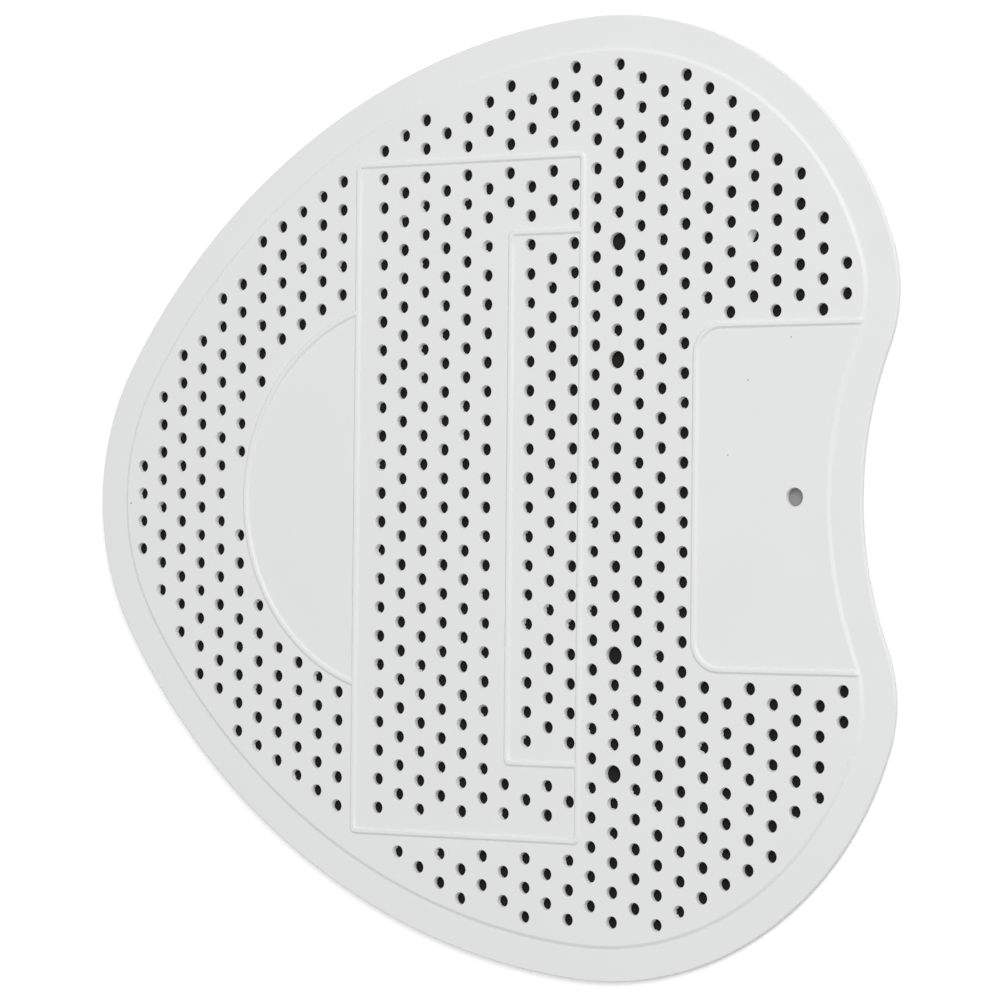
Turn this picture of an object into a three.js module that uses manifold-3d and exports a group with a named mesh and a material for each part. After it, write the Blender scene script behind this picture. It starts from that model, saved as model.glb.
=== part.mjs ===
// Urinal deodorizer screen: one soft vinyl moulding, in millimetres, +Z up.
// The nose points to -X, the cleft between the two lobes to +X, and the mat lies on z = 0.
// The origin is the middle of its footprint.
import * as THREE from 'three';
import { mergeVertices } from 'three/addons/utils/BufferGeometryUtils.js';
import Module from 'manifold-3d';

// Outline of one half, from the nose round to the cleft: arcs that run into each other
const NOSE_RADIUS = 59.4;
const NOSE_TURN_DEG = 31.6;
const FLANK_RADIUS = 153.4;
const FLANK_TURN_DEG = 54.6;
const SHOULDER_RADIUS = 73.1;
const SHOULDER_TURN_DEG = 76.8;
const LOBE_RADIUS = 32;
const LOBE_TURN_DEG = 38.5;

// Section
const FIELD_THICKNESS = 1.5;
const BORDER_THICKNESS = 1.05;
const BORDER_WIDTH = 7.4;
const BEAD_HEIGHT = 0.45;
const BEAD_WIDTH = 1.7;

// Perforation: staggered rows of round holes, one pitch apart along Y
const HOLE_PITCH = 6.35;
const HOLE_DIAMETER = 2.7;
const LARGE_HOLE_DIAMETER = 3.9;
const LARGE_HOLE_COLUMN = 6;
const LARGE_HOLE_STEPS = [-9, -5, 5, 9];
const LATTICE_FROM_NOSE = 105.55;
const LATTICE_OFF_CENTRE = 1;
const HOLE_TO_BORDER = 1.55;
const HOLE_TO_BEAD = 0.15;

// Rectangle of beads in the middle, and the bracket that stands inside it
const RECTANGLE_FROM_NOSE = 70.75;
const RECTANGLE_LENGTH = 60;
const RECTANGLE_WIDTH = 150;
const BRACKET_LENGTH = 19.8;
const BRACKET_WIDTH = 117.2;

// Blank D on the rectangle's nose side, closed by an arc of bead
const D_RADIUS = 44.35;
const D_DEPTH = 30.2;

// Blank panel at the cleft, with the hole that the mat is hung by
const PANEL_FROM_NOSE = 157.25;
const PANEL_WIDTH = 74.6;
const PANEL_CORNER_RADIUS = 7;
const HANGING_HOLE_DIAMETER = 4;
const HANGING_HOLE_FROM_NOSE = 181.85;

// Facets: how far a straight step may leave its arc, and the sides of a hole
const OUTLINE_ERROR = 0.8;
const STEP_LINE_ERROR = 0.9;
const BEAD_ERROR = 0.9;
const HOLE_SIDES = 4;
// The line that the rows of holes stop short of is measured much finer than it is drawn
const HOLE_LIMIT_ERROR = 0.04;

// Cutters and laid-on solids reach this far past the face that they meet
const OVERLAP = 0.5;
// Corners of a shape that are closer than this are one corner
const WELD_DISTANCE = 1e-4;

const wasm = await Module();
wasm.setup();

function polar(radius, degrees) {
  const angle = THREE.MathUtils.degToRad(degrees);
  return new THREE.Vector2(radius * Math.cos(angle), radius * Math.sin(angle));
}

// Points along an arc from one angle to the other, both ends included
function arcPoints(centre, radius, from, to, error) {
  const stepDeg = THREE.MathUtils.radToDeg(2 * Math.acos(1 - error / radius));
  const steps = Math.max(1, Math.ceil(Math.abs(to - from) / stepDeg));
  return Array.from({ length: steps + 1 }, (_, k) =>
    centre.clone().add(polar(radius, from + ((to - from) * k) / steps)));
}

// The mat's outline, moved in from its edge by a distance, with the nose at x = 0
function outline(inset, error) {
  const arcs = [
    [NOSE_RADIUS, NOSE_TURN_DEG],
    [FLANK_RADIUS, FLANK_TURN_DEG],
    [SHOULDER_RADIUS, SHOULDER_TURN_DEG],
    [LOBE_RADIUS, LOBE_TURN_DEG],
  ];
  const centre = new THREE.Vector2(NOSE_RADIUS, 0);
  const half = [];
  let angle = 180;
  let lastRadius = NOSE_RADIUS;
  for (const [radius, turn] of arcs) {
    centre.add(polar(lastRadius - radius, angle));
    half.push(...arcPoints(centre, radius - inset, angle, angle - turn, error).slice(0, -1));
    angle -= turn;
    lastRadius = radius;
  }
  // The cleft is a hollow arc that leaves the lobe's, with its centre on the middle line
  const reach = centre.y / Math.sin(THREE.MathUtils.degToRad(-angle));
  const cleftCentre = centre.clone().add(polar(reach, angle));
  const cleftRadius = reach - LOBE_RADIUS + inset;
  half.push(...arcPoints(cleftCentre, cleftRadius, 180 + angle, 180, error));
  const otherHalf = half.slice(1, -1).reverse().map((p) => new THREE.Vector2(p.x, -p.y));
  return [...half, ...otherHalf].reverse();
}

function boxOf(points) {
  return new THREE.Box2().setFromPoints(points);
}

const EDGE = outline(0, OUTLINE_ERROR);
const STEP_LINE = outline(BORDER_WIDTH, STEP_LINE_ERROR);
const LENGTH = boxOf(EDGE).max.x;

// A three.js geometry as a solid that can be joined and cut
function toSolid(geometry) {
  const bare = geometry.clone();
  bare.deleteAttribute('normal');
  bare.deleteAttribute('uv');
  const merged = mergeVertices(bare, WELD_DISTANCE);
  return new wasm.Manifold(new wasm.Mesh({
    numProp: 3,
    vertProperties: Float32Array.from(merged.attributes.position.array),
    triVerts: Uint32Array.from(merged.index.array),
  }));
}

// A flat shape given by its points and its holes, raised from one height to another
function slab(points, bottom, top, holes = []) {
  const shape = new THREE.Shape(points);
  shape.holes = holes.map((hole) => new THREE.Path(hole));
  const geometry = new THREE.ExtrudeGeometry(shape, { depth: top - bottom, bevelEnabled: false });
  return toSolid(geometry.translate(0, 0, bottom));
}

function rectanglePoints(x0, x1, halfWidth) {
  return [[x0, -halfWidth], [x1, -halfWidth], [x1, halfWidth], [x0, halfWidth]]
    .map(([x, y]) => new THREE.Vector2(x, y));
}

function beadSlab(points, holes) {
  return slab(points, FIELD_THICKNESS - OVERLAP, FIELD_THICKNESS + BEAD_HEIGHT, holes);
}

const rectangleEnd = RECTANGLE_FROM_NOSE + RECTANGLE_LENGTH;
const bracketStart = rectangleEnd - BRACKET_LENGTH;
const dCentre = new THREE.Vector2(RECTANGLE_FROM_NOSE - D_DEPTH + D_RADIUS, 0);

function rectangleBead() {
  const outer = rectanglePoints(RECTANGLE_FROM_NOSE, rectangleEnd, RECTANGLE_WIDTH / 2);
  const inner = rectanglePoints(RECTANGLE_FROM_NOSE + BEAD_WIDTH, rectangleEnd - BEAD_WIDTH,
    RECTANGLE_WIDTH / 2 - BEAD_WIDTH);
  return beadSlab(outer, [inner]);
}

// The bracket is open on the right, where its two arms run into the rectangle's side
function bracketBead() {
  const end = rectangleEnd - BEAD_WIDTH / 2;
  const outer = rectanglePoints(bracketStart, end, BRACKET_WIDTH / 2);
  const inner = rectanglePoints(bracketStart + BEAD_WIDTH, end, BRACKET_WIDTH / 2 - BEAD_WIDTH);
  const [outerLow, outerLowEnd, outerHighEnd, outerHigh] = outer;
  const [innerLow, innerLowEnd, innerHighEnd, innerHigh] = inner;
  return beadSlab([outerLow, outerLowEnd, innerLowEnd, innerLow,
    innerHigh, innerHighEnd, outerHighEnd, outerHigh]);
}

// Half the angle over which an arc of this radius bulges past the rectangle's side
function dHalfAngle(radius) {
  const side = RECTANGLE_FROM_NOSE + BEAD_WIDTH / 2;
  return THREE.MathUtils.radToDeg(Math.acos((dCentre.x - side) / radius));
}

function dBead() {
  const inner = D_RADIUS - BEAD_WIDTH;
  const outerAngle = dHalfAngle(D_RADIUS);
  const innerAngle = dHalfAngle(inner);
  return beadSlab([
    ...arcPoints(dCentre, D_RADIUS, 180 - outerAngle, 180 + outerAngle, BEAD_ERROR),
    ...arcPoints(dCentre, inner, 180 + innerAngle, 180 - innerAngle, BEAD_ERROR),
  ]);
}

// One edge of the panel's bead: round corners on the left, open towards the cleft
function panelEdge(inset, end) {
  const radius = PANEL_CORNER_RADIUS - inset;
  const corner = new THREE.Vector2(PANEL_FROM_NOSE + PANEL_CORNER_RADIUS,
    PANEL_WIDTH / 2 - PANEL_CORNER_RADIUS);
  const high = arcPoints(corner, radius, 90, 180, BEAD_ERROR);
  const low = arcPoints(new THREE.Vector2(corner.x, -corner.y), radius, 180, 270, BEAD_ERROR);
  const reach = PANEL_WIDTH / 2 - inset;
  return [new THREE.Vector2(end, reach), ...high, ...low, new THREE.Vector2(end, -reach)];
}

function panelBead() {
  const outer = panelEdge(0, LENGTH);
  const inner = panelEdge(BEAD_WIDTH, LENGTH);
  return beadSlab([...outer, ...inner.reverse()]);
}

function distanceToLoop(point, loop) {
  const line = new THREE.Line3();
  const nearest = new THREE.Vector3();
  const at = new THREE.Vector3(point.x, point.y, 0);
  return Math.min(...loop.map((start, i) => {
    const end = loop[(i + 1) % loop.length];
    line.set(new THREE.Vector3(start.x, start.y, 0), new THREE.Vector3(end.x, end.y, 0));
    return line.closestPointToPoint(at, true, nearest).distanceTo(at);
  }));
}

// How far a point lies outside a box that is centred on the middle line
function outsideBox(point, x0, x1, halfWidth) {
  const dx = Math.max(x0 - point.x, point.x - x1);
  const dy = Math.abs(point.y) - halfWidth;
  return dx > 0 && dy > 0 ? Math.hypot(dx, dy) : Math.max(dx, dy);
}

// How far a point lies from the beads and the blanks that they close, zero or less inside them
function clearOfBeads(point) {
  const rectangle = outsideBox(point, RECTANGLE_FROM_NOSE, rectangleEnd, RECTANGLE_WIDTH / 2);
  const bracket = outsideBox(point, bracketStart, rectangleEnd, BRACKET_WIDTH / 2);
  const panel = outsideBox(point, PANEL_FROM_NOSE + PANEL_CORNER_RADIUS, Infinity,
    PANEL_WIDTH / 2 - PANEL_CORNER_RADIUS) - PANEL_CORNER_RADIUS;
  const onNoseSide = point.x < RECTANGLE_FROM_NOSE;
  const inD = onNoseSide ? point.distanceTo(dCentre) - D_RADIUS : Infinity;
  return Math.min(
    rectangle > 0 ? rectangle : -rectangle - BEAD_WIDTH,
    bracket > 0 ? bracket : -bracket - BEAD_WIDTH,
    panel,
    inD,
  );
}

function isInside(point, loop) {
  let inside = false;
  loop.forEach((a, i) => {
    const b = loop[(i + 1) % loop.length];
    const crosses = (a.y > point.y) !== (b.y > point.y);
    if (crosses && point.x < ((b.x - a.x) * (point.y - a.y)) / (b.y - a.y) + a.x) {
      inside = !inside;
    }
  });
  return inside;
}

const holeLimit = outline(BORDER_WIDTH, HOLE_LIMIT_ERROR);

function isPerforated(point) {
  const radius = HOLE_DIAMETER / 2;
  return isInside(point, holeLimit)
    && distanceToLoop(point, holeLimit) > radius + HOLE_TO_BORDER
    && clearOfBeads(point) > radius + HOLE_TO_BEAD;
}

// Every hole as its centre and its diameter. Odd columns are half a pitch out of step.
function holes() {
  const columnPitch = (HOLE_PITCH * Math.sqrt(3)) / 2;
  const columns = Math.ceil(LENGTH / columnPitch);
  const rows = Math.ceil(boxOf(EDGE).max.y / HOLE_PITCH) + 1;
  const found = [];
  for (let column = -columns; column <= columns; column += 1) {
    for (let row = -rows; row <= rows; row += 1) {
      const isOdd = column % 2 !== 0;
      const step = isOdd ? row : row - 0.5;
      const centre = new THREE.Vector2(LATTICE_FROM_NOSE + column * columnPitch,
        LATTICE_OFF_CENTRE + step * HOLE_PITCH);
      if (isPerforated(centre)) {
        const isLarge = column === LARGE_HOLE_COLUMN && LARGE_HOLE_STEPS.includes(row);
        found.push({ centre, diameter: isLarge ? LARGE_HOLE_DIAMETER : HOLE_DIAMETER });
      }
    }
  }
  const hanging = new THREE.Vector2(HANGING_HOLE_FROM_NOSE, 0);
  return [...found, { centre: hanging, diameter: HANGING_HOLE_DIAMETER }];
}

// A few-sided prism with the open area of the round hole that it stands for
function holeCutter({ centre, diameter }) {
  const sector = (2 * Math.PI) / HOLE_SIDES;
  const radius = (diameter / 2) * Math.sqrt(sector / Math.sin(sector));
  const corners = Array.from({ length: HOLE_SIDES }, (_, k) =>
    centre.clone().add(polar(radius, ((k + 0.5) * 360) / HOLE_SIDES)));
  return slab(corners, -OVERLAP, FIELD_THICKNESS + BEAD_HEIGHT + OVERLAP);
}

// The joined and cut solid as a three.js geometry, with the origin in the middle of its footprint
function toGeometry(solid) {
  const mesh = solid.getMesh();
  const geometry = new THREE.BufferGeometry();
  const positions = Float32Array.from(mesh.vertProperties);
  geometry.setAttribute('position', new THREE.BufferAttribute(positions, 3));
  geometry.setIndex(new THREE.BufferAttribute(Uint32Array.from(mesh.triVerts), 1));
  geometry.translate(-LENGTH / 2, 0, 0);
  geometry.computeVertexNormals();
  return geometry;
}

function screenGeometry() {
  const border = slab(EDGE, 0, BORDER_THICKNESS);
  const field = slab(STEP_LINE, BORDER_THICKNESS - OVERLAP, FIELD_THICKNESS);
  const beadBand = slab(STEP_LINE, 0, FIELD_THICKNESS + BEAD_HEIGHT);
  const allBeads = rectangleBead().add(bracketBead()).add(dBead()).add(panelBead());
  const beads = allBeads.intersect(beadBand);
  const perforation = wasm.Manifold.union(holes().map(holeCutter));
  return toGeometry(border.add(field).add(beads).subtract(perforation));
}

const vinyl = new THREE.MeshStandardMaterial({ color: 0xe4e5e6, roughness: 0.5, metalness: 0 });

const screen = new THREE.Mesh(screenGeometry(), vinyl);
screen.name = 'screen';

const mat = new THREE.Group();
mat.add(screen);

export default mat;
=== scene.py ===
"""Urinal deodorizer screen: a thin satin white vinyl mat with a kidney outline.

Metres, +Z up out of the beaded face. The nose points to -X and the cleft to +X.
The nose's place and the holes come from the frame's solid mat. The other sizes are named here.
"""

import math
import random

import bmesh
import bpy
import numpy as np
from mathutils import Matrix, Vector, geometry


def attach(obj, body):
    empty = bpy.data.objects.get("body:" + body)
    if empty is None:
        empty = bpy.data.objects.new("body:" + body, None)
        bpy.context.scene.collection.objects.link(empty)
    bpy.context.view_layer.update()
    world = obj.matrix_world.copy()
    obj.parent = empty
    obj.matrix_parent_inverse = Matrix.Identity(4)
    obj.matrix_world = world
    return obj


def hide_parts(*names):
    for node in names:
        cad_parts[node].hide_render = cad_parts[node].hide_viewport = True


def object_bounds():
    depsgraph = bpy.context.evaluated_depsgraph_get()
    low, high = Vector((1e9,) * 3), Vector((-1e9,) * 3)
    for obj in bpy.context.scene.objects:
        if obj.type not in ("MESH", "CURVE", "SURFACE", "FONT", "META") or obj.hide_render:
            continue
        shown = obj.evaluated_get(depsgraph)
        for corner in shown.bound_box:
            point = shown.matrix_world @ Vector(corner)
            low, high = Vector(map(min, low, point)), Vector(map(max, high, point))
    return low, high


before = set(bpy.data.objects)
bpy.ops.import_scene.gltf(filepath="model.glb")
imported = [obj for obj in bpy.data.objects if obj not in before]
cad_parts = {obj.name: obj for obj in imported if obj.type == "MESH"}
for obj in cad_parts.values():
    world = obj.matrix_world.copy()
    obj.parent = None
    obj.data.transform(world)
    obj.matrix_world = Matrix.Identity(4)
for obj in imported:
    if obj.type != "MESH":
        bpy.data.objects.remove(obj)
cad_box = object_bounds()

MM = 0.001
NOSE_X = cad_box[0].x

# Outline of one half, from the nose round to the cleft: radius and turn in degrees of each arc
OUTLINE_ARCS = [(59.4 * MM, 31.6), (153.4 * MM, 54.6), (73.1 * MM, 76.8), (32 * MM, 38.5)]
OUTLINE_SPACING = 2 * MM

# Section
FIELD_HEIGHT = 1.5 * MM
BORDER_HEIGHT = 1.05 * MM
BORDER_WIDTH = 7.4 * MM
STEP_WIDTH = 1.0 * MM
STEP_RINGS = 5
RIM_RADIUS = 0.3 * MM
UNDER_RIM_BEVEL = 0.12 * MM

# Beads: narrow and flat on top, with long soft flanks
BEAD_HEIGHT = 0.45 * MM
BEAD_WIDTH = 1.7 * MM
BEAD_CREST_WIDTH = 0.5 * MM
BEAD_FLANK_WIDTH = (BEAD_WIDTH - BEAD_CREST_WIDTH) / 2
BEAD_FLANK_LINES = 5
BEAD_CORNER_RADIUS = 0.85 * MM
BEAD_SPACING = 3 * MM
D_BEAD_SPACING = BEAD_SPACING / 2
BEAD_CORNER_SPACING = BEAD_SPACING / 4
# How far the ends of the panel's bead run on past the foot of the step
BEAD_OVERRUN = STEP_WIDTH / 4

# Middle rectangle of beads, and the bracket inside it
RECTANGLE_START = NOSE_X + 70.75 * MM
RECTANGLE_LENGTH = 60 * MM
RECTANGLE_WIDTH = 150 * MM
BRACKET_LENGTH = 19.8 * MM
BRACKET_WIDTH = 117.2 * MM

# Blank D on the nose side of the rectangle
D_RADIUS = 44.35 * MM
D_DEPTH = 30.2 * MM

# Blank panel at the cleft
PANEL_START = NOSE_X + 157.25 * MM
PANEL_WIDTH = 74.6 * MM
PANEL_CORNER_RADIUS = 7 * MM

# Holes: the lip is the soft top edge
HOLE_SIDES = 16
HOLE_SIZE_SPREAD = 0.015
WIDEST_HOLE = 6 * MM
# The lip stays clear of the beads' feet, which are 0.15 mm from the nearest holes
HOLE_LIP = 0.12 * MM
HOLE_LIP_DEPTH = 0.3 * MM

# Flash: the thin ragged web left low in some holes. Its reach is a share of the hole's radius
FLASH_HEIGHT = 0.25 * MM
FLASH_ROOT_HEIGHT = 0.45 * MM
FLASH_SHARE = 0.45
FLASH_REACH = (0.12, 0.34)
WIDEST_WITH_FLASH = 3.2 * MM
TEAR_SCALE = 2.2
TEAR_DETAIL = 1
TEAR_START = 0.42
TEAR_SHARPNESS = 4
# Moves the pattern of tears on from hole to hole, so that no two are torn alike
TEAR_CHANGE = (900, 900, 900)

# One hole is mostly closed by a film, which leaves a crescent open on one side
FILMED_HOLE = Vector((68.8 * MM, 55 * MM))
# The film's edge, as a share of the hole's radius from its centre
FILM_EDGE = -0.05
FILM_OPEN_TOWARDS = -25
# What lies within this share of the hole's width is its own
FILM_SEARCH = 0.6

# Small dark specks in the vinyl: place along and across, and radius
SPECKS = [
    (68 * MM, 24.65 * MM, 0.22 * MM),
    (63.3 * MM, 8.9 * MM, 0.18 * MM),
    (78.1 * MM, 33.5 * MM, 0.18 * MM),
    (-94 * MM, -1.2 * MM, 0.25 * MM),
]

# Vinyl: noise scales are per metre, and relief is in millimetres before the bump's strength
CLOUD_SCALE = 55
CLOUD_DETAIL = 4
GRAIN_SCALE = 2400
GRAIN_DETAIL = 2
GRAIN_RELIEF = 0.006
WAVE_SCALE = 32
WAVE_DETAIL = 1
WAVE_RELIEF = 0.25
BUMP_STRENGTH = 0.5
VINYL_DARK = (0.752, 0.756, 0.762, 1)
VINYL_LIGHT = (0.784, 0.787, 0.792, 1)
VINYL_ROUGHNESS = 0.44
VINYL_ROUGHNESS_SPREAD = 0.12
SPECK_COLOUR = (0.2, 0.19, 0.18, 1)
SPECK_SHARPNESS = 2

# Floor, and the cards of painted shade that show through the holes: the floor's glow grows outwards
# from the radius that the lamps reach well
FLOOR_SIZE = 12
FLOOR_DROP = 0.3 * MM
FLOOR_LIT_RADIUS = 0.3
FLOOR_FADE_WIDTH = 1.2
FLOOR_NEAR_GLOW = 0.22
FLOOR_FAR_GLOW = 0.4
FLOOR_COLOUR = (0.9, 0.9, 0.9)
SHADE_CARD_DROP = 0.05 * MM
SHADE_CARD_INSET = 9 * MM
# Painted shade: a near-black card under the perforated field stands for the unlit space below the
# mat, seen through the holes
PAINTED_SHADE_CARD_COLOUR = (0.022, 0.021, 0.02)
# Painted shade: a grey card under the hanging hole stands for the half-shaded space seen through it
PAINTED_GREY_SHADE_COLOUR = (0.3, 0.3, 0.3)
PAINTED_GREY_SHADE_WIDTH = 16 * MM

WORLD_LIGHT = 0.46
# Lamps: place, size, and the share of a level surface's light that each gives
LAMPS = {
    "soft_key": (Vector((0.8, 0.7, 1.0)), 0.9, 0.43),
    "soft_fill": (Vector((-1.1, -0.5, 1.4)), 1.6, 0.14),
}

CAMERA_PLACE = Vector((0.4696, -0.0152, 0.7417))
CAMERA_TARGET = Vector((0.00677, -0.00054, FIELD_HEIGHT))
CAMERA_TURN = 0.56
FOCAL_LENGTH = 144

SEED = 7
WELD_DISTANCE = 0.002 * MM
# A face leans this little where it is a wall, by how much of its normal points up
WALL_LIMIT = 0.1
# A face is level where the square of its normal's upward part is no less than this
LEVEL_LIMIT = 0.99999
# Fewer faces than this meet at an open edge
OPEN_EDGE_LIMIT = 1.5


# Outline

def polar(radius, degrees):
    angle = math.radians(degrees)
    return Vector((radius * math.cos(angle), radius * math.sin(angle)))


def arc(centre, radius, start, end, steps):
    """Points along an arc, with both of its ends."""
    return [centre + polar(radius, start + (end - start) * k / steps) for k in range(steps + 1)]


def steps_along(length, spacing):
    return max(1, math.ceil(length / spacing))


def closed(points):
    return points + points[:1]


def outline(inset):
    """The mat's edge moved in by a distance, with as many points for every distance."""
    first = OUTLINE_ARCS[0][0]
    centre = Vector((NOSE_X + first, 0))
    half = []
    angle = 180
    last = first
    for radius, turn in OUTLINE_ARCS:
        centre = centre + polar(last - radius, angle)
        steps = steps_along(radius * math.radians(turn), OUTLINE_SPACING)
        half += arc(centre, radius - inset, angle, angle - turn, steps)[:-1]
        angle -= turn
        last = radius
    reach = centre.y / math.sin(math.radians(-angle))
    hollow = reach - last
    steps = steps_along(hollow * math.radians(-angle), OUTLINE_SPACING)
    half += arc(centre + polar(reach, angle), hollow + inset, 180 + angle, 180, steps)
    return half + [Vector((p.x, -p.y)) for p in reversed(half[1:-1])]


def distance_in(points):
    """How far each point lies from the mat's edge."""
    edge = np.array([tuple(p) for p in outline(0)])
    along = np.roll(edge, -1, axis=0) - edge
    places = np.array([tuple(p) for p in points])
    away = places[:, None, :] - edge[None, :, :]
    share = np.clip((away * along).sum(axis=2) / (along ** 2).sum(axis=1), 0, 1)
    return np.linalg.norm(away - share[:, :, None] * along, axis=2).min(axis=1)


def is_inside(p):
    """Whether a point lies inside the mat's edge."""
    edge = closed(outline(0))
    crossings = sum((a.y > p.y) != (b.y > p.y)
                    and p.x < a.x + (b.x - a.x) * (p.y - a.y) / (b.y - a.y)
                    for a, b in zip(edge, edge[1:]))
    return crossings % 2 == 1


def soft_step(share):
    share = min(max(share, 0), 1)
    return share * share * (3 - 2 * share)


# Beads

class RoundedBox:
    """Centre line of a bead round a box that is even about the middle line."""

    def __init__(self, start, end, width, radius):
        self.start, self.end, self.radius = start, end, radius
        self.reach = width / 2

    def off(self, p):
        """How far a point lies from the line, below zero inside the box."""
        half_length = (self.end - self.start) / 2
        dx = abs(p.x - self.start - half_length) - half_length + self.radius
        dy = abs(p.y) - self.reach + self.radius
        outside = math.hypot(max(dx, 0), max(dy, 0))
        return outside + min(max(dx, dy), 0) - self.radius

    def left_side(self, shift, end):
        """The line moved out by shift: from end round the two left corners and back to end."""
        radius = max(self.radius + shift, 0)
        inner = self.radius + shift - radius
        x = self.start + self.radius - inner
        y = self.reach - self.radius + inner
        steps = steps_along(radius * math.pi / 2, BEAD_CORNER_SPACING)
        high = arc(Vector((x, y)), radius, 90, 180, steps) if radius else [Vector((x, y))]
        low = [Vector((p.x, -p.y)) for p in reversed(high)]
        return [Vector((end, high[0].y))] + high + low + [Vector((end, low[-1].y))]


BEAD_INSET = BEAD_WIDTH / 2
RECTANGLE_END = RECTANGLE_START + RECTANGLE_LENGTH
rectangle = RoundedBox(RECTANGLE_START + BEAD_INSET, RECTANGLE_END - BEAD_INSET,
                       RECTANGLE_WIDTH - BEAD_WIDTH, BEAD_CORNER_RADIUS)
# The bracket and the panel are open towards the cleft, so their boxes end past their beads
bracket = RoundedBox(RECTANGLE_END - BRACKET_LENGTH + BEAD_INSET, RECTANGLE_END + BRACKET_LENGTH,
                     BRACKET_WIDTH - BEAD_WIDTH, BEAD_CORNER_RADIUS)
panel = RoundedBox(PANEL_START + BEAD_INSET, PANEL_START + PANEL_WIDTH,
                   PANEL_WIDTH - BEAD_WIDTH, PANEL_CORNER_RADIUS - BEAD_INSET)
d_centre = Vector((RECTANGLE_START - D_DEPTH + D_RADIUS, 0))
d_radius = D_RADIUS - BEAD_INSET


def d_half_angle(radius):
    return math.degrees(math.acos((d_centre.x - rectangle.start) / radius))


def from_bead(p):
    """How far a point lies from the nearest centre line of a bead."""
    distances = [abs(rectangle.off(p)), abs(panel.off(p))]
    if p.x <= rectangle.end:
        distances.append(abs(bracket.off(p)))
    if p.x <= rectangle.start:
        distances.append(abs((p - d_centre).length - d_radius))
    return min(distances)


def divided(points, spacing):
    """The same line, with no step longer than spacing."""
    line = [points[0]]
    for a, b in zip(points, points[1:]):
        steps = steps_along((b - a).length, spacing)
        line += [a.lerp(b, k / steps) for k in range(1, steps + 1)]
    return line


def far_end(shift):
    """Where a line of the panel's bead has run off the field's edge, down onto the border."""
    y = panel.reach + shift
    foot = closed(outline(BORDER_WIDTH - STEP_WIDTH))
    crossings = [a.x + (b.x - a.x) * (y - a.y) / (b.y - a.y)
                 for a, b in zip(foot, foot[1:]) if (a.y > y) != (b.y > y)]
    return max(crossings) + BEAD_OVERRUN


def bead_lines(shift):
    """Every line of the bead's section at one distance from the centre lines."""
    ends = rectangle.start + rectangle.end
    left = rectangle.left_side(shift, ends / 2)
    right = [Vector((ends - p.x, p.y)) for p in reversed(left)]
    angle = d_half_angle(d_radius + shift)
    steps = steps_along(2 * d_radius * math.radians(angle), D_BEAD_SPACING)
    d_line = arc(d_centre, d_radius + shift, 180 - angle, 180 + angle, steps)
    return [
        divided(left + right[1:], BEAD_SPACING),
        divided(bracket.left_side(shift, rectangle.end), BEAD_SPACING),
        d_line,
        divided(panel.left_side(shift, far_end(shift)), BEAD_SPACING),
    ]


# The moulding without its holes

def height_at(p, depth):
    """The beaded face's height at a point that lies this deep inside the mat's edge."""
    step = soft_step((depth - BORDER_WIDTH + STEP_WIDTH / 2) / STEP_WIDTH)
    bead = soft_step((BEAD_WIDTH / 2 - from_bead(p)) / BEAD_FLANK_WIDTH)
    return BORDER_HEIGHT + (FIELD_HEIGHT - BORDER_HEIGHT) * step + BEAD_HEIGHT * bead * step


def rim_height(inset):
    """Height of the rim's quarter round at a distance in from the edge."""
    return BORDER_HEIGHT - RIM_RADIUS + math.sqrt(RIM_RADIUS ** 2 - (RIM_RADIUS - inset) ** 2)


def beaded_face():
    """Vertices and triangles of all that isn't flat field: the border, its step and the beads."""
    field_inset = BORDER_WIDTH + STEP_WIDTH / 2
    half_round = RIM_RADIUS * (1 - math.sqrt(0.5))
    insets = [0, half_round, RIM_RADIUS]
    insets += [BORDER_WIDTH - STEP_WIDTH / 2 + STEP_WIDTH * k / STEP_RINGS
               for k in range(STEP_RINGS + 1)]
    points, edges, depths = [], [], {}

    def draw(line, depth=None):
        first = len(points)
        points.extend(line)
        edges.extend((first + k, first + k + 1) for k in range(len(line) - 1))
        if depth is not None:
            depths.update((first + k, depth) for k in range(len(line)))

    for inset in insets:
        ring = outline(inset)
        draw(ring, inset)
        edges.append((len(points) - 1, len(points) - len(ring)))
    for k in range(BEAD_FLANK_LINES):
        shift = BEAD_WIDTH / 2 - BEAD_FLANK_WIDTH * k / (BEAD_FLANK_LINES - 1)
        for line in bead_lines(shift) + bead_lines(-shift):
            draw(line)

    laid = geometry.delaunay_2d_cdt(points, edges, [], 0, WELD_DISTANCE)
    places, faces, sources = laid[0], laid[2], laid[3]
    depth = distance_in(places)
    for k, given in enumerate(sources):
        known = [depths[i] for i in given if i in depths]
        depth[k] = known[0] if known else depth[k]
    heights = [rim_height(d) if d < RIM_RADIUS else height_at(p, d) for p, d in zip(places, depth)]

    middles = [(places[a] + places[b] + places[c]) / 3 for a, b, c in faces]
    kept = []
    for face, middle, deep in zip(faces, middles, distance_in(middles)):
        is_past_edge = max(depth[i] for i in face) == 0 and not is_inside(middle)
        is_raised = from_bead(middle) < BEAD_WIDTH / 2
        if (deep < field_inset or is_raised) and not is_past_edge:
            kept.append(face)
    return [Vector((p.x, p.y, z)) for p, z in zip(places, heights)], kept


def rim_side():
    """Vertices and faces of the rim from its top round down to the underside."""
    levels = [(0, rim_height(0)), (0, UNDER_RIM_BEVEL), (UNDER_RIM_BEVEL, 0)]
    rings = [[Vector((p.x, p.y, z)) for p in outline(inset)] for inset, z in levels]
    count = len(rings[0])
    verts = [v for ring in rings for v in ring]
    faces = []
    for level in range(len(rings) - 1):
        for k in range(count):
            following = (k + 1) % count
            a, b = level * count + k, level * count + following
            faces.append((a, b, b + count, a + count))
    return verts, faces


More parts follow.
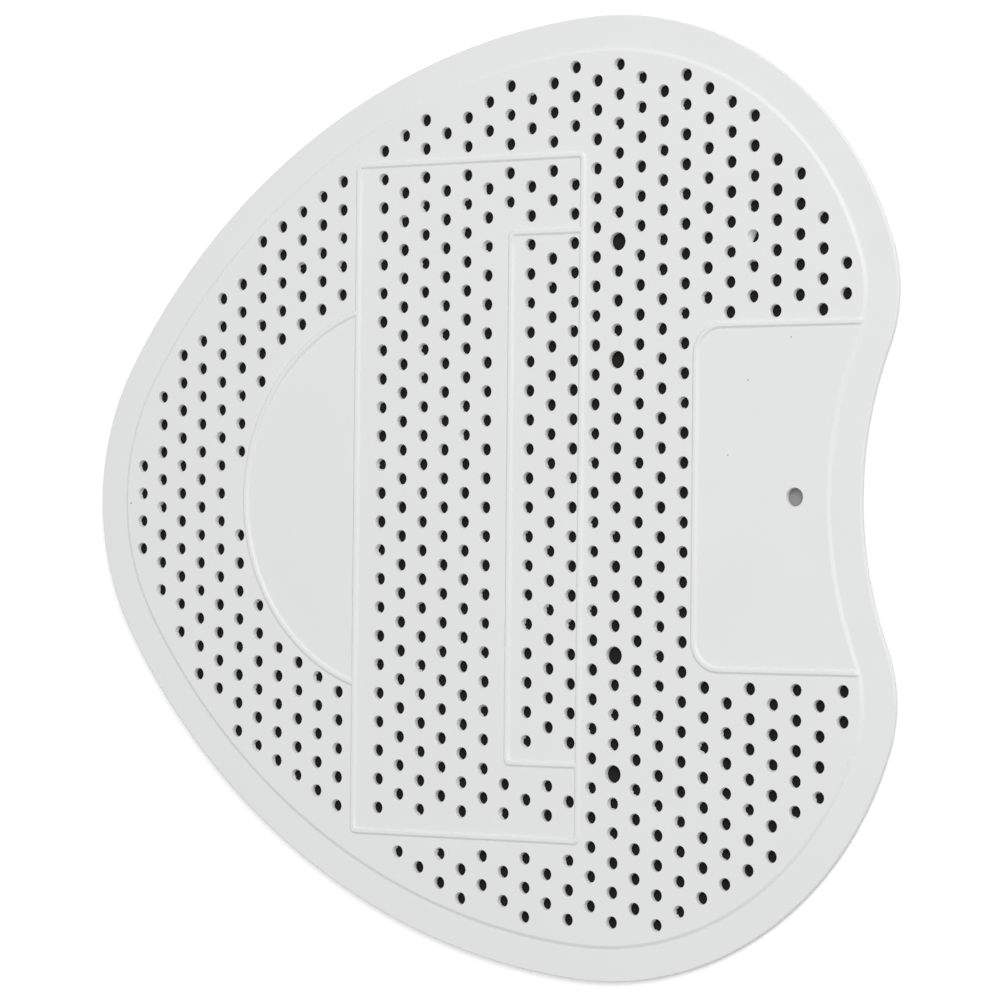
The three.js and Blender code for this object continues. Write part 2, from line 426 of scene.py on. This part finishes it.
def solid_holes():
    """Centre of every hole in the frame's solid mat, and the width of a round one as open."""
    solid = bmesh.new()
    solid.from_mesh(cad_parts["screen"].data)
    bmesh.ops.remove_doubles(solid, verts=solid.verts, dist=WELD_DISTANCE)
    upright = {f for f in solid.faces if abs(f.normal.z) < WALL_LIMIT}
    found = []
    while upright:
        wall, waiting = set(), [upright.pop()]
        while waiting:
            face = waiting.pop()
            wall.add(face)
            for edge in face.edges:
                for other in edge.link_faces:
                    if other in upright:
                        upright.remove(other)
                        waiting.append(other)
        xs = [v.co.x for f in wall for v in f.verts]
        ys = [v.co.y for f in wall for v in f.verts]
        side = max(xs) - min(xs)
        if side < WIDEST_HOLE and max(ys) - min(ys) < WIDEST_HOLE:
            centre = Vector(((max(xs) + min(xs)) / 2, (max(ys) + min(ys)) / 2))
            found.append((centre, 2 * side / math.sqrt(math.pi)))
    solid.free()
    return sorted(found, key=lambda hole: (round(hole[0].x, 5), round(hole[0].y, 5)))


def moulding(holes):
    """The mat's faces without its holes, and a loose vertex for every hole with what it needs."""
    shape = bmesh.new()
    for verts, faces in (beaded_face(), rim_side()):
        made = [shape.verts.new(v) for v in verts]
        for face in faces:
            shape.faces.new([made[i] for i in face])
    bmesh.ops.remove_doubles(shape, verts=shape.verts, dist=WELD_DISTANCE)
    unused = [v for v in shape.verts if not v.link_faces]
    bmesh.ops.delete(shape, geom=unused, context="VERTS")
    width = shape.verts.layers.float.new("hole_width")
    flash = shape.verts.layers.float.new("hole_flash")
    place = shape.verts.layers.float_vector.new("hole_centre")
    dice = random.Random(SEED)
    for centre, diameter in holes:
        vert = shape.verts.new((centre.x, centre.y, 0))
        vert[width] = diameter * dice.uniform(1 - HOLE_SIZE_SPREAD, 1 + HOLE_SIZE_SPREAD)
        reach = dice.uniform(*FLASH_REACH)
        has_flash = dice.random() < FLASH_SHARE and diameter < WIDEST_WITH_FLASH
        vert[flash] = reach if has_flash else 0
        vert[place] = vert.co
    mesh = bpy.data.meshes.new("moulding")
    shape.to_mesh(mesh)
    shape.free()
    return mesh


# Node trees

class Wire:
    """An output of a node. Sums and comparisons written with it add Math nodes."""

    def __init__(self, tree, node, output=0):
        self.tree, self.node, self.output = tree, node, node.outputs[output]

    def out(self, name):
        """Another output of the same node."""
        return Wire(self.tree, self.node, name)

    def maths(self, operation, first, second):
        return self.tree.node("ShaderNodeMath", {"operation": operation}, [first, second])

    def __add__(self, other):
        return self.maths("ADD", self, other)

    def __radd__(self, other):
        return self.maths("ADD", other, self)

    def __sub__(self, other):
        return self.maths("SUBTRACT", self, other)

    def __rsub__(self, other):
        return self.maths("SUBTRACT", other, self)

    def __mul__(self, other):
        return self.maths("MULTIPLY", self, other)

    def __rmul__(self, other):
        return self.maths("MULTIPLY", other, self)

    def __truediv__(self, other):
        return self.maths("DIVIDE", self, other)

    def __gt__(self, other):
        return self.maths("GREATER_THAN", self, other)

    def __lt__(self, other):
        return self.maths("LESS_THAN", self, other)

    def limited(self):
        """The value held between 0 and 1."""
        return self.tree.node("ShaderNodeClamp", {}, [self])


class Tree:
    """A node tree, and the one way in which nodes are added to it."""

    def __init__(self, tree):
        self.tree = tree

    def node(self, kind, settings=None, sockets=()):
        """Adds a node: its settings first, then the values or wires of its sockets."""
        node = self.tree.nodes.new(kind)
        for name, value in (settings or {}).items():
            setattr(node, name, value)
        given = sockets.items() if isinstance(sockets, dict) else enumerate(sockets)
        for name, value in given:
            self.feed(node.inputs[name], value)
        return Wire(self, node) if node.outputs else node

    def feed(self, socket, value):
        """Sets a socket to a value, or links it to a wire or to a list of wires."""
        if isinstance(value, Wire):
            self.tree.links.new(value.output, socket)
        elif isinstance(value, list):
            for wire in reversed(value):
                self.feed(socket, wire)
        else:
            socket.default_value = value

    def mix(self, share, first, second):
        """A colour between two colours."""
        mixed = self.node("ShaderNodeMix", {"data_type": "RGBA"}, {0: share, 6: first, 7: second})
        return mixed.out(2)

    def noise(self, place, scale, detail):
        return self.node("ShaderNodeTexNoise", {},
                         {"Vector": place, "Scale": scale, "Detail": detail}).out(0)

    def vectors(self, operation, *values):
        return self.node("ShaderNodeVectorMath", {"operation": operation}, values)

    def background_rays(self):
        """1 for what the camera, mirrors and glass see, and 0 for the light on the object."""
        path = self.node("ShaderNodeLightPath")
        return (path.out("Is Camera Ray") + path.out("Is Glossy Ray")
                + path.out("Is Transmission Ray")).limited()


# Perforation

PERFORATION_SIZES = {
    "Field Height": FIELD_HEIGHT,
    "Lip": HOLE_LIP,
    "Lip Depth": HOLE_LIP_DEPTH,
    "Flash Height": FLASH_HEIGHT,
    "Flash Root Height": FLASH_ROOT_HEIGHT,
    "Weld Distance": WELD_DISTANCE,
}


def perforation_tree():
    """Fills the flat field and the underside round the holes, and gives every hole its wall."""
    group = bpy.data.node_groups.new("perforation", "GeometryNodeTree")
    side = group.interface
    side.new_socket("Geometry", in_out="INPUT", socket_type="NodeSocketGeometry")
    for name in PERFORATION_SIZES:
        side.new_socket(name, in_out="INPUT", socket_type="NodeSocketFloat")
    side.new_socket("Vinyl", in_out="INPUT", socket_type="NodeSocketMaterial")
    side.new_socket("Geometry", in_out="OUTPUT", socket_type="NodeSocketGeometry")

    tree = Tree(group)
    given = tree.node("NodeGroupInput")
    field, lip = given.out("Field Height"), given.out("Lip")

    def stored(name, kind="FLOAT"):
        return tree.node("GeometryNodeInputNamedAttribute", {"data_type": kind}, {"Name": name})

    def moved(mesh, place):
        return tree.node("GeometryNodeSetPosition", {}, {"Geometry": mesh, "Position": place})

    def joined(*parts):
        return tree.node("GeometryNodeJoinGeometry", {}, [list(parts)])

    def real(instances):
        return tree.node("GeometryNodeRealizeInstances", {}, [instances])

    def place_parts():
        parts = tree.node("ShaderNodeSeparateXYZ", {}, [tree.node("GeometryNodeInputPosition")])
        return parts.out("X"), parts.out("Y"), parts.out("Z")

    def at_height(mesh, height):
        x, y, _ = place_parts()
        return moved(mesh, tree.node("ShaderNodeCombineXYZ", {}, [x, y, height]))

    width = stored("hole_width")
    split = tree.node("GeometryNodeSeparateGeometry", {"domain": "POINT"},
                      {"Geometry": given.out("Geometry"), "Selection": width > 0})
    holes, mould = split.out("Selection"), split.out("Inverted")
    _, _, height = place_parts()
    is_open = tree.node("GeometryNodeInputMeshEdgeNeighbors") < OPEN_EDGE_LIMIT

    def flat_face(is_here, radius):
        """What the open edges at one height close, less a circle of that radius at every hole."""
        rims = tree.node("GeometryNodeMeshToCurve", {},
                         {"Mesh": mould, "Selection": is_open * is_here})
        circle = tree.node("GeometryNodeCurvePrimitiveCircle", {},
                           {"Resolution": HOLE_SIDES, "Radius": 1.0})
        scale = tree.node("ShaderNodeCombineXYZ", {}, [radius, radius, 1.0])
        circles = real(tree.node("GeometryNodeInstanceOnPoints", {},
                                 {"Points": holes, "Instance": circle, "Scale": scale}))
        return tree.node("GeometryNodeFillCurve", {"mode": "TRIANGLES"}, [joined(rims, circles)])

    half = field / 2
    top = at_height(flat_face(height > half, width / 2 + lip), field)
    under = at_height(flat_face(height < half, width / 2), 0.0)
    under = tree.node("GeometryNodeFlipFaces", {}, {"Mesh": under})

    # A wall has five rings: underside, edge of the flash, root of the flash, foot of the lip, lip
    flash_edge, flash_root, lip_foot, lip_ring = 1, 2, 3, 4
    bands = lip_ring
    tube = tree.node("GeometryNodeMeshCylinder", {"fill_type": "NONE"},
                     {"Vertices": HOLE_SIDES, "Side Segments": bands,
                      "Radius": 1.0, "Depth": float(bands)})
    walls = real(tree.node("GeometryNodeInstanceOnPoints", {}, {"Points": holes, "Instance": tube}))
    centre = stored("hole_centre", "FLOAT_VECTOR")
    away = tree.vectors("SUBTRACT", tree.node("GeometryNodeInputPosition"), centre)
    parts = tree.node("ShaderNodeSeparateXYZ", {}, [away])
    ring = parts.out("Z") + bands / 2

    def at_ring(number):
        return (ring > number - 0.5) * (ring < number + 0.5)

    outwards = tree.node("ShaderNodeCombineXYZ", {}, [parts.out("X"), parts.out("Y"), 0.0])
    change = tree.vectors("MULTIPLY", centre, TEAR_CHANGE)
    ragged = tree.noise(tree.vectors("ADD", outwards, change), TEAR_SCALE, TEAR_DETAIL)
    tear = ((ragged - TEAR_START) * TEAR_SHARPNESS).limited()
    radius = (width / 2 + lip * at_ring(lip_ring)
              - width / 2 * stored("hole_flash") * tear * at_ring(flash_edge))
    level = (at_ring(flash_edge) * given.out("Flash Height")
             + at_ring(flash_root) * given.out("Flash Root Height")
             + at_ring(lip_foot) * (field - given.out("Lip Depth")) + at_ring(lip_ring) * field)
    flat = tree.vectors("SCALE", outwards)
    tree.feed(flat.node.inputs["Scale"], radius)
    raised = tree.node("ShaderNodeCombineXYZ", {}, [0.0, 0.0, level])
    walls = moved(walls, tree.vectors("ADD", tree.vectors("ADD", centre, flat), raised))
    walls = tree.node("GeometryNodeFlipFaces", {}, {"Mesh": walls})

    whole = joined(mould, top, under, walls)
    whole = tree.node("GeometryNodeMergeByDistance", {},
                      {"Geometry": whole, "Distance": given.out("Weld Distance")})
    whole = real(whole)
    upward = tree.node("ShaderNodeSeparateXYZ", {}, [tree.node("GeometryNodeInputNormal")]).out("Z")
    whole = tree.node("GeometryNodeSetShadeSmooth", {"domain": "FACE"},
                      {0: whole, "Shade Smooth": upward * upward < LEVEL_LIMIT})
    for name in ("hole_width", "hole_flash", "hole_centre"):
        whole = tree.node("GeometryNodeRemoveAttribute", {}, {"Geometry": whole, "Name": name})
    whole = tree.node("GeometryNodeSetMaterial", {},
                      {"Geometry": whole, "Material": given.out("Vinyl")})
    tree.node("NodeGroupOutput", {}, [whole])
    return group


def perforated(mesh, vinyl):
    """The moulding with its holes, as a plain mesh."""
    blank = bpy.data.objects.new("blank", mesh)
    bpy.context.collection.objects.link(blank)
    modifier = blank.modifiers.new("perforation", "NODES")
    modifier.node_group = perforation_tree()
    values = {**PERFORATION_SIZES, "Vinyl": vinyl}
    for item in modifier.node_group.interface.items_tree:
        if item.in_out == "INPUT" and item.name in values:
            modifier[item.identifier] = values[item.name]
    seen = blank.evaluated_get(bpy.context.evaluated_depsgraph_get())
    plain = bpy.data.meshes.new_from_object(seen)
    bpy.data.objects.remove(blank)
    return plain


def close_with_film(mesh, holes):
    """The flash of one hole grown into a film that ends in a straight edge."""
    centre, diameter = min(holes, key=lambda hole: (hole[0] - FILMED_HOLE).length)
    open_side = polar(1, FILM_OPEN_TOWARDS)
    edge = FILM_EDGE * diameter / 2
    for vert in mesh.vertices:
        away = vert.co.xy - centre
        is_near = away.length < diameter * FILM_SEARCH
        if is_near and abs(vert.co.z - FLASH_HEIGHT) < WELD_DISTANCE:
            outward = away.normalized() * diameter / 2
            slide = max(0, edge - outward.dot(open_side))
            vert.co.xy = centre + outward + open_side * slide


# Finishes

def new_material(name):
    material = bpy.data.materials.new(name)
    material.use_nodes = True
    material.node_tree.nodes.clear()
    return material, Tree(material.node_tree)


def white_vinyl():
    """Satin soft vinyl: faint clouds, a fine grain, and a few specks."""
    material, tree = new_material("satin_white_vinyl")
    place = tree.node("ShaderNodeTexCoord").out("Object")
    clouds = tree.noise(place, CLOUD_SCALE, CLOUD_DETAIL)
    grain = tree.noise(place, GRAIN_SCALE, GRAIN_DETAIL)
    waves = tree.noise(place, WAVE_SCALE, WAVE_DETAIL)
    base = tree.mix(clouds, VINYL_DARK, VINYL_LIGHT)
    spots = 0
    for x, y, radius in SPECKS:
        distance = tree.vectors("DISTANCE", place, (x, y, FIELD_HEIGHT)).out("Value")
        spots = (1 - distance / radius).limited() + spots
    base = tree.mix((spots * SPECK_SHARPNESS).limited(), base, SPECK_COLOUR)
    relief = grain * GRAIN_RELIEF + waves * WAVE_RELIEF
    bump = tree.node("ShaderNodeBump", {},
                     {"Strength": BUMP_STRENGTH, "Distance": MM, "Height": relief})
    shader = tree.node("ShaderNodeBsdfPrincipled", {}, {
        "Base Color": base,
        "Roughness": VINYL_ROUGHNESS + clouds * VINYL_ROUGHNESS_SPREAD,
        "IOR": 1.5,
        "Specular IOR Level": 0.4,
        "Normal": bump,
    })
    tree.node("ShaderNodeOutputMaterial", {}, [shader])
    return material


def plain_paint(name, colour):
    """A matt surface of one colour."""
    material, tree = new_material(name)
    matt = tree.node("ShaderNodeBsdfDiffuse", {}, {"Color": (*colour, 1)})
    tree.node("ShaderNodeOutputMaterial", {}, [matt])
    return material


def white_floor():
    """Matt white. A glow that only the camera and mirrors see grows where the lamps reach less."""
    material, tree = new_material("white_floor")
    place = tree.node("ShaderNodeTexCoord").out("Object")
    distance = tree.vectors("LENGTH", place).out("Value")
    far = ((distance - FLOOR_LIT_RADIUS) / FLOOR_FADE_WIDTH).limited()
    share = tree.background_rays() * (FLOOR_NEAR_GLOW + far * FLOOR_FAR_GLOW)
    glow = tree.node("ShaderNodeEmission", {}, {
        "Color": tree.mix(share, (0, 0, 0, 1), (1, 1, 1, 1)),
        "Strength": 1,
    })
    matt = tree.node("ShaderNodeBsdfDiffuse", {}, {"Color": (*FLOOR_COLOUR, 1)})
    whole = tree.node("ShaderNodeAddShader", {}, [matt, glow])
    tree.node("ShaderNodeOutputMaterial", {}, [whole])
    return material


# Mat

def new_piece(name, data):
    piece = bpy.data.objects.new(name, data)
    bpy.context.collection.objects.link(piece)
    return piece


def make_mat(holes):
    mesh = perforated(moulding(holes), white_vinyl())
    close_with_film(mesh, holes)
    mesh.name = "mat"
    mat = new_piece("mat", mesh)
    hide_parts("screen")
    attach(mat, "root")


# Stage

def flat_sheet(name, points, height, material):
    mesh = bpy.data.meshes.new(name)
    mesh.from_pydata([(p.x, p.y, height) for p in points], [], [range(len(points))])
    mesh.materials.append(material)
    new_piece(name, mesh)


def square(centre, width):
    half = width / 2
    corners = ((-half, -half), (half, -half), (half, half), (-half, half))
    return [centre + Vector(corner) for corner in corners]


def field_without_panel():
    """The field's outline, cut short where the blank panel begins."""
    around = [p for p in reversed(outline(SHADE_CARD_INSET)) if panel.off(p) > 0]
    cleft = max(range(len(around)), key=lambda k: (around[k] - around[k - 1]).length)
    notch = panel.left_side(0, panel.end)[1:-1]
    return around[cleft:] + around[:cleft] + notch[::-1]


def make_floor(holes):
    """A white floor, and the cards of painted shade that show through the holes.

    The dark card is painted shade under the perforated field and stops short of the blank panel,
    where a small grey one paints a lighter shade under the hanging hole, which is the widest.
    """
    flat_sheet("floor", square(Vector((0, 0)), FLOOR_SIZE), -FLOOR_DROP, white_floor())
    # Painted shade: the near-black card under the field darkens what the holes show
    flat_sheet("painted_shade_card", field_without_panel(), -SHADE_CARD_DROP,
               plain_paint("painted_shade_black", PAINTED_SHADE_CARD_COLOUR))
    # Painted shade: the grey card under the hanging hole gives the mid-grey that the hole shows
    hanging_hole = max(holes, key=lambda hole: hole[1])[0]
    flat_sheet("painted_grey_shade", square(hanging_hole, PAINTED_GREY_SHADE_WIDTH), -SHADE_CARD_DROP,
               plain_paint("painted_grey_shade", PAINTED_GREY_SHADE_COLOUR))


def make_light():
    """An even white room that lights the object plainly, and two soft lamps."""
    world = bpy.data.worlds.new("white_room")
    world.use_nodes = True
    world.node_tree.nodes.clear()
    tree = Tree(world.node_tree)
    strength = WORLD_LIGHT + tree.background_rays() * (1 - WORLD_LIGHT)
    room = tree.node("ShaderNodeBackground", {}, {"Color": (1, 1, 1, 1), "Strength": strength})
    tree.node("ShaderNodeOutputWorld", {}, [room])
    bpy.context.scene.world = world
    for name, (place, size, share) in LAMPS.items():
        lamp = bpy.data.lights.new(name, "AREA")
        lamp.size = size
        level = place.normalized().z
        lamp.energy = share * math.pi ** 2 * place.length_squared / level
        holder = new_piece(name, lamp)
        holder.location = place
        holder.rotation_euler = (-place).to_track_quat("-Z", "Y").to_euler()


def make_camera():
    """Looks down on the beaded face from the cleft's end, with +Y upwards in the picture."""
    camera = bpy.data.cameras.new("camera")
    camera.lens = FOCAL_LENGTH
    holder = new_piece("camera", camera)
    back = (CAMERA_PLACE - CAMERA_TARGET).normalized()
    right = Vector((0, 1, 0)).cross(back).normalized()
    axes = Matrix((right, back.cross(right), back)).transposed()
    turn = Matrix.Rotation(math.radians(CAMERA_TURN), 3, back)
    holder.matrix_world = Matrix.Translation(CAMERA_PLACE) @ (turn @ axes).to_4x4()
    bpy.context.scene.camera = holder


mat_holes = solid_holes()
make_mat(mat_holes)
make_floor(mat_holes)
make_light()
make_camera()
bpy.context.scene.view_settings.view_transform = "Standard"
